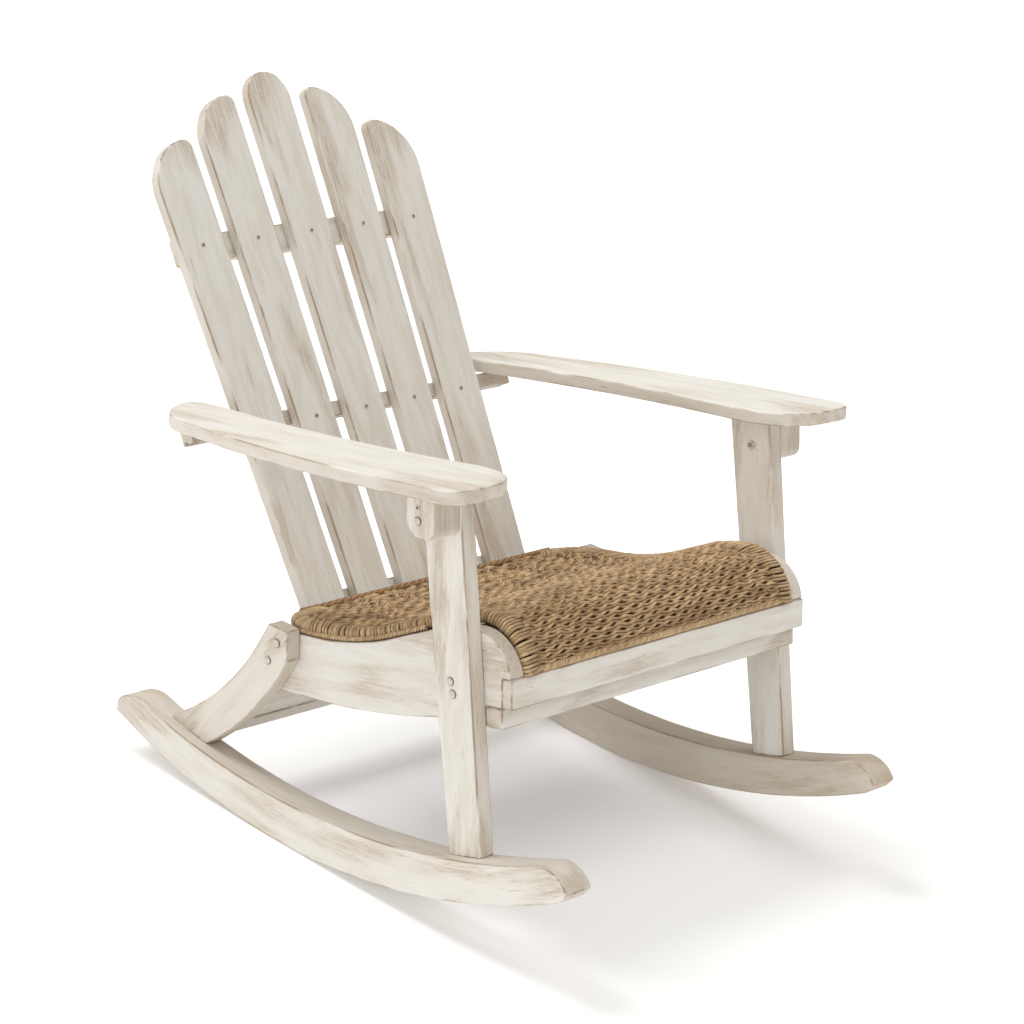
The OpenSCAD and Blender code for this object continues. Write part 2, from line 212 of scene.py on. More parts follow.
def soften(points):
    """Smooth curves for gentle turns and small fillets for sharp ones. Also the sharp points."""
    points = points[turns(points) > STRAIGHT]
    turning = turns(points)
    out = []
    for i, here in enumerate(points):
        back = points[i - 1] - here
        ahead = points[(i + 1) % len(points)] - here
        back_len = np.linalg.norm(back)
        ahead_len = np.linalg.norm(ahead)
        cut = min(back_len, ahead_len) / 2
        if turning[i] > SHARP_TURN:
            cut = min(cut, CORNER)
        start = here + back / back_len * cut
        end = here + ahead / ahead_len * cut
        steps = max(2, math.ceil(math.degrees(turning[i]) / CURVE_STEP))
        for k in range(steps + 1):
            t = k / steps
            out.append((1 - t) ** 2 * start + 2 * t * (1 - t) * here + t * t * end)
    out = np.array(out)
    gaps = np.linalg.norm(out - np.roll(out, 1, axis=0), axis=1)
    return out[gaps > SHORTEST_SIDE], points[turning > SHARP_TURN]


def divide(points, step):
    """The outline with no stretch longer than step."""
    out = []
    for here, there in zip(points, np.roll(points, -1, axis=0)):
        count = max(1, math.ceil(np.linalg.norm(there - here) / step))
        out += [here + (there - here) * k / count for k in range(count)]
    return np.array(out)


def inset(points, depth):
    """The outline moved inwards by depth, with its sharpest corners held back."""
    sharpest = 1.2
    ahead = np.roll(points, -1, axis=0) - points
    ahead /= np.linalg.norm(ahead, axis=1)[:, None]
    inward = np.stack([-ahead[:, 1], ahead[:, 0]], 1)
    both = inward + np.roll(inward, 1, axis=0)
    scale = np.maximum((both * both).sum(1), sharpest)
    return points + both * (2 * depth / scale)[:, None]


def distance_to(points, outline):
    """Distance from each point to the nearest place on a closed outline."""
    best = np.full(len(points), np.inf)
    for a, b in zip(outline, np.roll(outline, -1, axis=0)):
        along = b - a
        t = np.clip(((points - a) @ along) / max(along @ along, TINY ** 2), 0, 1)
        best = np.minimum(best, np.linalg.norm(points - a - t[:, None] * along, axis=1))
    return best


def inside(points, outline):
    """Which points lie inside a closed outline."""
    result = np.zeros(len(points), bool)
    for (ax, ay), (bx, by) in zip(outline, np.roll(outline, -1, axis=0)):
        if ay == by:
            continue
        crosses = (ay > points[:, 1]) != (by > points[:, 1])
        result ^= crosses & (points[:, 0] < (bx - ax) * (points[:, 1] - ay) / (by - ay) + ax)
    return result


def fill_cap(ring):
    """Inner points and triangles that fill a ring. Ring points keep their numbers."""
    low = ring.min(0) + FILL_STEP / 2
    high = ring.max(0)
    columns = np.arange(low[0], high[0], FILL_STEP)
    xs, ys = np.meshgrid(columns, np.arange(low[1], high[1], FILL_STEP))
    # the band keeps clear of the ring, and the grid of the band
    grid = np.stack([xs.ravel(), ys.ravel()], 1)
    grid = grid[inside(grid, ring)]
    grid = grid[distance_to(grid, ring) > 1.6 * EDGE_BAND] if len(grid) else grid
    band = inset(ring, EDGE_BAND)
    band = band[inside(band, ring)]
    band = band[distance_to(band, ring) > 0.9 * EDGE_BAND] if len(band) else band
    points = np.concatenate([ring, band, grid])
    ring_face = [list(range(len(ring)))]
    inside_only, tolerance = 1, 1e-7
    flat = [Vector(p) for p in points]
    made = geometry.delaunay_2d_cdt(flat, [], ring_face, inside_only, tolerance)
    coords, _, triangles, originals = made[:4]
    numbers, extra = [], []
    for at, source in zip(coords, originals):
        if source and source[0] < len(ring):
            numbers.append(source[0])
        else:
            numbers.append(len(ring) + len(extra))
            extra.append((at.x, at.y))
    return np.array(extra).reshape(-1, 2), [tuple(numbers[i] for i in t) for t in triangles]


# ---------- boards ----------

# how brown the paint is: painted shade on the boards that stand in shade, random browning on the
# others
SHADE_TONE_BY_BOARD = {"rocker_left": 1.7, "rear_leg_left": 0.9, "rear_leg_right": 0.9}
WEAR_RANGE = (0, 0.4)


def board(node, axis, along, material, round_over=ROUND_OVER, bend=None):
    """One wooden board: the CAD outline with rounded, slightly worn edges and a dense surface.

    axis is square to the outline and along follows the grain, unless bend says where it runs.
    """
    bm = level_verts(node)
    reach = [v.co.dot(axis) for v in bm.verts]
    low = min(reach)
    high = max(reach)
    end_on = abs(along.dot(axis)) > 0.5
    first = axis.orthogonal().normalized() if end_on else along
    second = axis.cross(first)
    outline, sharp = soften(cap_outline(bm, axis, first, second))
    bm.free()

    outline = divide(outline, OUTLINE_STEP)
    round_over = min(round_over, 0.3 * (high - low))
    flat, depths, faces = board_skin(outline, edge_levels(low, high, round_over))
    verts = np.outer(flat[:, 0], first) + np.outer(flat[:, 1], second) + np.outer(depths, axis)

    grain = np.stack([verts @ np.array(d) for d in (along, axis, axis.cross(along))], 1)
    if bend is not None:
        grain[:, 0], grain[:, 2] = bend(verts)
    if end_on:
        grain[:, 1:] = flat
    to_ends = np.minimum(grain[:, 0] - grain[:, 0].min(), grain[:, 0].max() - grain[:, 0])
    to_side = distance_to(flat, outline)
    to_cap = np.minimum(depths - low, high - depths)
    rim = distance_to_edges(flat, to_side, to_cap, sharp)
    shift = np.array([random.uniform(-9, 9) for _ in range(3)])

    # place along and across the grain, distance to the nearest edge, 0 on the flat faces to 1
    # on the narrow ones, distance to the nearer end, and how brown the paint is, with painted
    # shade
    attributes = {
        "grain": grain + shift,
        "rim": rim,
        "flank": to_cap / (to_cap + to_side + TINY),
        "tip": to_ends,
        "tone": np.full(len(verts), SHADE_TONE_BY_BOARD.get(node, random.uniform(*WEAR_RANGE))),
    }
    verts = wear_down(verts, faces, rim, round_over, shift)
    obj = make_object(node + "_board", verts, faces, attributes, material)
    normals = obj.modifiers.new("normals", "WEIGHTED_NORMAL")
    normals.weight = 60
    finish_piece(obj, "whitewashed_wood", node)


def edge_levels(low, high, round_over):
    """Steps from low to high up a board's edge: depth inside its outline, and height."""
    lower = [
        (round_over * (1 - math.cos(a)), low + round_over * (1 - math.sin(a)))
        for a in EDGE_ANGLES
    ]
    upper = [(depth, low + high - at) for depth, at in reversed(lower)]
    straight = high - low - 2 * round_over
    rows = max(1, math.ceil(straight / OUTLINE_STEP))
    wall = [(0, low + round_over + straight * k / rows) for k in range(1, rows)]
    return lower + wall + upper


def board_skin(outline, levels):
    """A board's points in the plane of its outline, their heights, and its faces."""
    count = len(outline)
    rings = [inset(outline, depth) for depth, _ in levels]
    heights = [np.full(count, at) for _, at in levels]
    faces = stacked_rings(0, count, len(levels))
    extra, triangles = fill_cap(rings[0])
    start_low = len(levels) * count
    start_high = start_low + len(extra)
    top_ring = (len(levels) - 1) * count
    for t in triangles:
        faces.append(tuple(i if i < count else start_low + i - count for i in reversed(t)))
        faces.append(tuple(i + top_ring if i < count else start_high + i - count for i in t))
    heights += [np.full(len(extra), levels[end][1]) for end in (0, -1)]
    return np.concatenate(rings + [extra, extra]), np.concatenate(heights), faces


def distance_to_edges(flat, to_side, to_cap, sharp):
    """Distance to a board's nearest long edge, or to the upright edge at a sharp corner."""
    corners = np.full(len(flat), np.inf)
    for corner in sharp:
        corners = np.minimum(corners, np.linalg.norm(flat - corner, axis=1))
    return np.sort(np.stack([to_side, to_cap, np.maximum(corners, to_side)]), axis=0)[1]


def wear_down(verts, faces, rim, round_over, shift):
    """Presses small dents into the edges and a faint ripple into the faces."""
    mesh = bpy.data.meshes.new("worn")
    mesh.from_pydata([tuple(v) for v in verts], [], faces)
    worn = verts.copy()
    for i, vert in enumerate(mesh.vertices):
        at = vert.co + Vector(shift)
        edge = max(0.0, 1 - rim[i] / (2 * round_over))
        dent = max(0.0, noise.fractal(at * DENT_SCALE, 1.0, 2.0, 3)) * DENT * edge
        ripple = noise.noise(at * RIPPLE_SCALE) * RIPPLE * (1 - edge)
        worn[i] -= np.array(vert.normal) * (dent + abs(ripple))
    bpy.data.meshes.remove(mesh)
    return worn


def along_rocker(verts):
    """Grain that follows the rocker's curve: distance along it, and out from its centre."""
    y = verts[:, 1] - ROCKER_CENTRE.y
    z = verts[:, 2] - ROCKER_CENTRE.z
    radius = np.hypot(y, z)
    return np.arctan2(y, -z) * ROCKER_CENTRE.z, radius


# ---------- shader helpers ----------

def new_material(name):
    """An empty material, its node tree and its one shader."""
    material = bpy.data.materials.new(name)
    material.use_nodes = True
    tree = material.node_tree
    tree.nodes.clear()
    out = tree.nodes.new("ShaderNodeOutputMaterial")
    shader = tree.nodes.new("ShaderNodeBsdfPrincipled")
    tree.links.new(shader.outputs[0], out.inputs[0])
    return material, tree, shader


def read(tree, name):
    """A point attribute's node."""
    node = tree.nodes.new("ShaderNodeAttribute")
    node.attribute_name = name
    return node


def position(tree):
    """Each point's own place in the object."""
    return tree.nodes.new("ShaderNodeTexCoord").outputs["Object"]


def feed(tree, socket, value):
    """Links a socket to another, or sets it."""
    if isinstance(value, bpy.types.NodeSocket):
        tree.links.new(value, socket)
    else:
        socket.default_value = value


def math_node(tree, operation, a, b=0.0):
    """The result of a sum on sockets or numbers."""
    node = tree.nodes.new("ShaderNodeMath")
    node.operation = operation
    feed(tree, node.inputs[0], a)
    feed(tree, node.inputs[1], b)
    return node.outputs[0]


def times(tree, a, b):
    return math_node(tree, "MULTIPLY", a, b)


def ramp(tree, value, low, high, to_low=0.0, to_high=1.0):
    """A smooth step of value, from low to high."""
    node = tree.nodes.new("ShaderNodeMapRange")
    node.interpolation_type = "SMOOTHSTEP"
    feed(tree, node.inputs["Value"], value)
    node.inputs["From Min"].default_value = low
    node.inputs["From Max"].default_value = high
    node.inputs["To Min"].default_value = to_low
    node.inputs["To Max"].default_value = to_high
    return node.outputs["Result"]


def stretched_noise(tree, vector, scale, detail=3.0, roughness=0.55, distortion=0.0):
    """Noise whose coordinates are scaled one by one, so that it runs along the grain."""
    scaled = tree.nodes.new("ShaderNodeVectorMath")
    scaled.operation = "MULTIPLY"
    tree.links.new(vector, scaled.inputs[0])
    scaled.inputs[1].default_value = scale
    node = tree.nodes.new("ShaderNodeTexNoise")
    tree.links.new(scaled.outputs[0], node.inputs["Vector"])
    node.inputs["Scale"].default_value = 1.0
    node.inputs["Detail"].default_value = detail
    node.inputs["Roughness"].default_value = roughness
    node.inputs["Distortion"].default_value = distortion
    return node.outputs["Fac"]


def blend_colour(tree, factor, a, b):
    """Colour a where factor is 0, and b where it is 1."""
    colour_a, colour_b, colour_out = 6, 7, 2
    node = tree.nodes.new("ShaderNodeMix")
    node.data_type = "RGBA"
    feed(tree, node.inputs["Factor"], factor)
    feed(tree, node.inputs[colour_a], a)
    feed(tree, node.inputs[colour_b], b)
    return node.outputs[colour_out]


def matt(shader, roughness, shine):
    """Sets how rough a surface is, and how much it shines."""
    shader.inputs["Roughness"].default_value = roughness
    shader.inputs["Specular IOR Level"].default_value = shine


def bump(tree, height, strength, distance, shader):
    """Gives a shader a fine relief."""
    node = tree.nodes.new("ShaderNodeBump")
    node.inputs["Strength"].default_value = strength
    node.inputs["Distance"].default_value = distance
    tree.links.new(height, node.inputs["Height"])
    tree.links.new(node.outputs[0], shader.inputs["Normal"])


# ---------- materials ----------

PAINT = (0.792, 0.772, 0.722, 1)
PAINT_WARM = (0.720, 0.684, 0.610, 1)
# colour of the painted highlight along the edges
EDGE_HIGHLIGHT = (0.850, 0.830, 0.780, 1)
STREAK = (0.470, 0.365, 0.255, 1)
BARE = (0.310, 0.210, 0.130, 1)
CRACK = (0.130, 0.085, 0.050, 1)


def whitewash():
    """Worn whitewash: soft streaks of bare wood along the grain, fine cracks, rubbed edges,
    painted highlights, painted shade.
    """
    material, tree, shader = new_material("whitewash")
    grain = read(tree, "grain").outputs["Vector"]
    rim = read(tree, "rim").outputs["Fac"]
    flank = read(tree, "flank").outputs["Fac"]
    tip = read(tree, "tip").outputs["Fac"]
    tone = read(tree, "tone").outputs["Fac"]

    # noises from coarse to fine, all long along the grain
    patches = stretched_noise(tree, grain, (4.2, 24, 24), 2.0, 0.5, 0.3)
    broad = stretched_noise(tree, grain, (9.0, 70, 70), 4.0, 0.6, 0.4)
    streaks = stretched_noise(tree, grain, (24, 330, 330), 6.0, 0.70, 0.5)
    fibres = stretched_noise(tree, grain, (60, 900, 900), 3.0, 0.6)
    hairs = stretched_noise(tree, grain, (34, 620, 620), 3.0, 0.6, 0.8)
    cracks = stretched_noise(tree, grain, (14, 380, 380), 2.0, 0.5, 0.6)
    rub = stretched_noise(tree, grain, (20, 46, 46), 4.0, 0.65)

    # warm clouds, stains in patches and near the ends, hairs, lines, fibres and cracks
    colour = blend_colour(tree, ramp(tree, broad, 0.38, 0.68), PAINT, PAINT_WARM)
    near_end = ramp(tree, tip, 0.0, 0.11, 0.13, 0.0)
    patchy = ramp(tree, math_node(tree, "ADD", patches, near_end), 0.52, 0.72)
    stain = times(tree, ramp(tree, streaks, 0.34, 0.64, 0.2, 1.0), patchy)
    colour = blend_colour(tree, times(tree, stain, 0.66), colour, STREAK)
    hairy = ramp(tree, patchy, 0.0, 1.0, 0.16, 1.0)
    hair = times(tree, ramp(tree, hairs, 0.58, 0.70, 0.0, 0.75), hairy)
    colour = blend_colour(tree, hair, colour, BARE)
    lines = times(tree, ramp(tree, streaks, 0.56, 0.74), 0.30)
    colour = blend_colour(tree, lines, colour, STREAK)
    fine = times(tree, ramp(tree, fibres, 0.54, 0.8), 0.12)
    colour = blend_colour(tree, fine, colour, BARE)
    split = times(tree, ramp(tree, cracks, 0.725, 0.755), 0.45)
    colour = blend_colour(tree, split, colour, CRACK)

    # painted highlight on the edges, painted shade on narrow faces, broken seams, rubbed places,
    # the tint
    highlight = ramp(tree, rim, 0.0012, 0.0034, 0.65, 0.0)
    colour = blend_colour(tree, highlight, colour, EDGE_HIGHLIGHT)
    # painted shade: the narrow faces are browned as if shaded by their neighbours
    colour = blend_colour(tree, times(tree, flank, 0.26), colour, STREAK)
    broken = ramp(tree, broad, 0.38, 0.62, 0.04, 0.90)
    seam = times(tree, ramp(tree, rim, 0.0010, 0.0030, 1.0, 0.0), broken)
    colour = blend_colour(tree, seam, colour, BARE)
    reach = ramp(tree, rub, 0.50, 0.80, -0.0010, 0.0052)
    worn = ramp(tree, math_node(tree, "SUBTRACT", reach, rim), -0.0004, 0.0026)
    colour = blend_colour(tree, times(tree, worn, 0.62), colour, BARE)
    # painted shade on the boards that stand in shade, and random browning on the others
    tint = times(tree, tone, 0.24)
    colour = blend_colour(tree, tint, colour, STREAK)

    tree.links.new(colour, shader.inputs["Base Color"])
    matt(shader, 0.58, 0.3)
    height = math_node(tree, "ADD", times(tree, streaks, 0.5), fibres)
    height = math_node(tree, "SUBTRACT", height, times(tree, split, 1.2))
    bump(tree, height, 0.25, 0.0005, shader)
    return material


def plain_wood():
    """Wood of the dowels, which are hidden inside the joints."""
    material, tree, shader = new_material("dowel_wood")
    rings = stretched_noise(tree, position(tree), (40, 400, 400), 3.0)
    colour = blend_colour(tree, ramp(tree, rings, 0.3, 0.7), PAINT_WARM, STREAK)
    tree.links.new(colour, shader.inputs["Base Color"])
    shader.inputs["Roughness"].default_value = 0.7
    return material


RUSH_PALE = (0.730, 0.512, 0.283, 1)
RUSH_MID = (0.430, 0.272, 0.132, 1)
RUSH_DARK = (0.070, 0.034, 0.014, 1)
RUSH_RED = (0.390, 0.225, 0.115, 1)
RIM_PALE = (0.750, 0.550, 0.320, 1)
RIM_MID = (0.490, 0.325, 0.165, 1)
# near-black colour of the painted shade inside the weave
PAINTED_CORE_SHADE = (0.030, 0.015, 0.007, 1)
# length of one turn of a strand's twist, and the plies that it shows
RUSH_TWIST = 0.016
PLIES_IN_STRAND = 2


def rush(name, pale, middle, twist_shade_strength):
    """Twisted rush: fine fibres along each strand, strand by strand colour, painted shade in its
    grooves and undersides.
    """
    material, tree, shader = new_material(name)
    strand = read(tree, "strand").outputs["Vector"]
    parts = tree.nodes.new("ShaderNodeSeparateXYZ")
    tree.links.new(strand, parts.inputs[0])
    along, around, _ = parts.outputs
    painted_shade = read(tree, "painted_shade").outputs["Fac"]

    turn = math_node(tree, "ADD", times(tree, along, 1 / RUSH_TWIST), around)
    angle = times(tree, turn, 2 * math.pi * PLIES_IN_STRAND)
    lay = math_node(tree, "SINE", angle)
    fibre = stretched_noise(tree, strand, (60, 22, 55), 3.0, 0.6)
    blotch = stretched_noise(tree, strand, (14, 1.2, 55), 2.0)

    colour = blend_colour(tree, ramp(tree, blotch, 0.32, 0.66), pale, middle)
    hair = times(tree, ramp(tree, fibre, 0.46, 0.74), 0.5)
    colour = blend_colour(tree, hair, colour, RUSH_DARK)
    # painted shade in the grooves between the plies of the twist
    twist_shade = ramp(tree, lay, -1.0, -0.3, twist_shade_strength, 0.0)
    colour = blend_colour(tree, twist_shade, colour, RUSH_DARK)
    # painted shade, as much as each strand point carries
    shaded = times(tree, painted_shade, 0.9)
    colour = blend_colour(tree, shaded, colour, RUSH_DARK)

    tree.links.new(colour, shader.inputs["Base Color"])
    matt(shader, 0.6, 0.3)
    height = math_node(tree, "ADD", times(tree, lay, 0.3), fibre)
    bump(tree, height, 0.5, 0.0008, shader)
    return material


def rush_core_shade():
    """Painted shade: the near-black inside of the weave, seen only between the strands."""
    material, tree, shader = new_material("rush_core_shade")
    mottle = stretched_noise(tree, position(tree), (150, 60, 60), 3.0)
    colour = blend_colour(tree, ramp(tree, mottle, 0.35, 0.7), PAINTED_CORE_SHADE, RUSH_DARK)
    tree.links.new(colour, shader.inputs["Base Color"])
    matt(shader, 0.9, 0.1)
    return material


STEEL_PALE = (0.70, 0.67, 0.60, 1)
STEEL_DULL = (0.46, 0.42, 0.35, 1)
HEAD_DARK = (0.075, 0.055, 0.040, 1)


def steel():
    """Dull weathered steel, darker where its heads meet the wood and in the drive holes."""
    material, tree, shader = new_material("weathered_steel")
    spots = stretched_noise(tree, position(tree), (420, 420, 420), 4.0, 0.6)
    head_dark = read(tree, "head_dark").outputs["Fac"]
    colour = blend_colour(tree, ramp(tree, spots, 0.35, 0.7), STEEL_PALE, STEEL_DULL)
    # darker at the rim where the heads meet the wood and at the screws' centres
    colour = blend_colour(tree, head_dark, colour, HEAD_DARK)
    tree.links.new(colour, shader.inputs["Base Color"])
    tree.links.new(ramp(tree, spots, 0.3, 0.7, 0.38, 0.62), shader.inputs["Roughness"])
    shader.inputs["Metallic"].default_value = 0.35
    return material


# ---------- fasteners ----------

def islands(node):
    """The separate solids of a CAD node in the level layout, each as an array of points."""
    bm = level_verts(node)
    left = set(bm.verts)
    found = []
    while left:
        stack = [left.pop()]
        solid = []
        while stack:
            vert = stack.pop()
            solid.append(tuple(vert.co))
            for edge in vert.link_edges:
                other = edge.other_vert(vert)
                if other in left:
                    left.remove(other)
                    stack.append(other)
        found.append(np.array(solid))
    bm.free()
    return found


# radius of the shank, radius of the head and height of the head
BOLT_SIZES = (0.003, 0.006, 0.0026)
SCREW_SIZES = (0.00175, 0.0036, 0.0012)
# profiles of the heads: share of the radius, share of the height, and how dark it is
BOLT_HEAD = [
    (1.00, 0.00, 1.0), (1.00, 0.10, 1.0), (0.97, 0.26, 1.0), (0.90, 0.44, 0.6),
    (0.82, 0.62, 0.0), (0.70, 0.80, 0.0), (0.50, 0.93, 0.0), (0.28, 0.99, 0.0),
    (0.00, 1.00, 0.0),
]
SCREW_HEAD = [
    (1.00, 0.00, 0.8), (1.00, 0.30, 0.5), (0.88, 0.62, 0.0), (0.68, 0.86, 0.0),
    (0.54, 0.92, 0.2), (0.44, 0.80, 1.0), (0.26, 0.40, 1.0), (0.00, 0.30, 1.0),
]
HEAD_SIDES = 28
THINNEST = 1e-5


def fasteners(node, out, head, sizes, material):
    """Turned bolts or screws in place of a CAD node's plain ones.

    out points out of a head. Sideways ones are mirrored on the chair's other side.
    """
    shank_r, head_r, head_h = sizes
    verts, faces, head_dark = [], [], []
    for solid in islands(node):
        side = math.copysign(1.0, solid[:, 0].mean()) if out == ACROSS else 1.0
        axis = out * side
        reach = solid @ np.array(axis)
        first = axis.orthogonal().normalized()
        second = axis.cross(first)
        middle = (solid.min(0) + solid.max(0)) / 2
        tip = reach.min()
        under_head = reach.max() - head_h
        centre = Vector(middle) - axis * Vector(middle).dot(axis)
        profile = [(0.0, tip, 0.5), (shank_r, tip, 0.5), (shank_r, under_head, 0.5)]
        profile += [(r * head_r, under_head + h * head_h, dark) for r, h, dark in head]
        base = len(verts)
        for radius, height, dark in profile:
            for k in range(HEAD_SIDES):
                angle = 2 * math.pi * k / HEAD_SIDES
                spoke = first * math.cos(angle) + second * math.sin(angle)
                spoke *= max(radius, THINNEST)
                verts.append(centre + axis * height + spoke)
                head_dark.append(dark)
        faces += stacked_rings(base, HEAD_SIDES, len(profile))
        last = base + (len(profile) - 1) * HEAD_SIDES
        faces.append(tuple(base + k for k in reversed(range(HEAD_SIDES))))
        faces.append(tuple(last + k for k in range(HEAD_SIDES)))
    obj = make_object(node + "_turned", verts, faces, {"head_dark": head_dark}, material)
    finish_piece(obj, "steel", node)


# ---------- the woven seat ----------

# side view: flat from the back, a hollow, a straight rise, a crown and the front roll
SEAT_LOW_Z = 0.318
SEAT_RISE = math.radians(18.4)
SEAT_BACK_Y = 0.114
DIP_Y = 0.020
DIP_R = 0.380
RISE_END_Y = -0.175
CROWN_Y = -0.241
ROLL_R = 0.075
APRON_TOP = 0.2995

# top view: narrower from the posts to the front, with rounded back corners
SEAT_HALF_W = 0.313
SEAT_FRONT_HALF_W = 0.2835
JOG_Y = (-0.168, -0.196)
CORNER_START_Y = 0.030
CORNER_END_X = 0.245
CORNER_POWER = 2.4

# rows: each is a pair of strands, which sways and lifts once in a STITCH. The first and the
# last stay BACK_GAP and FRONT_GAP inside the seat, and all sink at their ends under the rim.
ROW_PITCH = 0.0090
ROW_STEP = 0.0034
BACK_GAP = 0.0165
FRONT_GAP = 0.0145
STITCH = 0.027
SWAY = 0.0013
LIFT = 0.0011
LUMP = 0.0012
TREMOR = 0.0006
WEFT_W = 0.0025
WEFT_H = 0.0040
WEFT_H0 = -0.0052
ROW_END = 0.014
ROW_END_DROP = 0.0030
PLUMPNESS = (0.88, 1.06)

# how the rows wander: a swing to and fro, a broad drift and a fine roughness. All fade near
# the back and front edges, and where the weave gets tight.
SWING = 0.0058
SWING_LEN = 0.075
WANDER = 0.010
ROUGH = 0.003
CALM_EDGE = 0.03
ROWS_TIGHTEN = (0.26, 0.38)
LUMPS_FADE = (0.30, 0.40)

# painted shade on a strand: underneath, beside a slit, at a row's ends, in its dips, between lumps
SHADE = 1.0
SHADE_POWER = 1.05
SLIT_SHADE = 0.45
END_SHADE = 0.30
DIP_SHADE = 0.08
LUMP_SHADE = 0.45
LUMP_SHADE_MOST = 0.4

# the core's faces under the seat's top, and how far it stays inside the seat's outline
CORE_TOP = -0.0048
CORE_LOW = -0.0064
CORE_END_GAP = 0.004
CORE_SIDE_GAP = 0.007

# the bound rim: BAND wide beside the rows, its wraps leaning at the sides and deeper in front
BAND = 0.019
WRAP_PITCH = 0.0052
WRAP_R = 0.0025
WRAP_REACH = (0.030, 0.042)
WRAP_BACK_GAP = 0.003
WRAP_LEAN = 0.024
WRAP_LEAN_SPREAD = 0.0012
WRAP_DEEPER = 1.5

# ropes. A ply's place and size are shares of its rope's radius.
ROPE_R = 0.0042
BACK_ROPE_R = 0.0056
BACK_ROPE_RISE = 0.0030
FRONT_ROPE_R = 0.0054
ROPE_PITCH = 0.015
ROPE_PLIES = 3
ROPE_STEPS = 9
PLY_OUT = 0.52
PLY_W = 0.48
PLY_H = 0.46
PLY_SHADE = 0.4


def bow(centre, radius, start, end, count):
    """Points on an arc in the side view. Angles are in radians."""
    angles = np.linspace(start, end, count)
    return np.stack([centre[0] + radius * np.cos(angles), centre[1] + radius * np.sin(angles)], 1)


def seat_side_view():
    """The seat's top face from its back edge, over the front roll, down to the apron."""
    quarter = math.pi / 2
    rise_start_y = DIP_Y - DIP_R * math.sin(SEAT_RISE)
    rise_start_z = SEAT_LOW_Z + DIP_R * (1 - math.cos(SEAT_RISE))
    rise_end_z = rise_start_z + (rise_start_y - RISE_END_Y) * math.tan(SEAT_RISE)
    crown_r = (RISE_END_Y - CROWN_Y) / math.sin(SEAT_RISE)
    crown_z = rise_end_z + crown_r * (1 - math.cos(SEAT_RISE))
    roll_end = math.pi + math.asin((crown_z - ROLL_R - APRON_TOP) / ROLL_R)
    return np.concatenate([
        [[SEAT_BACK_Y, SEAT_LOW_Z]],
        bow((DIP_Y, SEAT_LOW_Z + DIP_R), DIP_R, -quarter, -quarter - SEAT_RISE, 30),
        bow((CROWN_Y, crown_z - crown_r), crown_r, quarter - SEAT_RISE, quarter, 20),
        bow((CROWN_Y, crown_z - ROLL_R), ROLL_R, quarter, roll_end, 30)[1:],
    ])


SIDE_VIEW = seat_side_view()
SIDE_STEPS = np.linalg.norm(np.diff(SIDE_VIEW, axis=0), axis=1)
SIDE_AT = np.concatenate([[0], np.cumsum(SIDE_STEPS)])
SEAT_LEN = float(SIDE_AT[-1])


def side_view_at(s):
    """The top face's y and z, at a distance s along the seat from its back edge."""
    return np.interp(s, SIDE_AT, SIDE_VIEW[:, 0]), np.interp(s, SIDE_AT, SIDE_VIEW[:, 1])


def on_seat(x, s, h):
    """Points and normals at x across, s along the seat from its back, h above its top face."""
    step = 0.006
    x, s, h = np.broadcast_arrays(np.asarray(x, float), s, h)
    y, z = side_view_at(s)
    ahead_y, ahead_z = side_view_at(np.clip(s + step, 0, SEAT_LEN))
    behind_y, behind_z = side_view_at(np.clip(s - step, 0, SEAT_LEN))
    dy = ahead_y - behind_y
    dz = ahead_z - behind_z
    length = np.hypot(dy, dz)
    normal = np.stack([np.zeros_like(x), dz / length, -dy / length], -1)
    return np.stack([x, y, z], -1) + normal * h[..., None], normal


def along_at(y):
    """Distance along the seat at which its top face reaches y."""
    return float(np.interp(-y, -SIDE_VIEW[:, 0], SIDE_AT))


def half_width(s):
    """Half the seat's width, at a distance s from its back edge."""
    y = float(side_view_at(s)[0])
    if y <= CORNER_START_Y:
        return float(np.interp(-y, (-JOG_Y[0], -JOG_Y[1]), (SEAT_HALF_W, SEAT_FRONT_HALF_W)))
    t = (y - CORNER_START_Y) / (SEAT_BACK_Y - CORNER_START_Y)
    rounding = math.sqrt(max(0.0, 1 - t ** CORNER_POWER))
    return CORNER_END_X + (SEAT_HALF_W - CORNER_END_X) * rounding


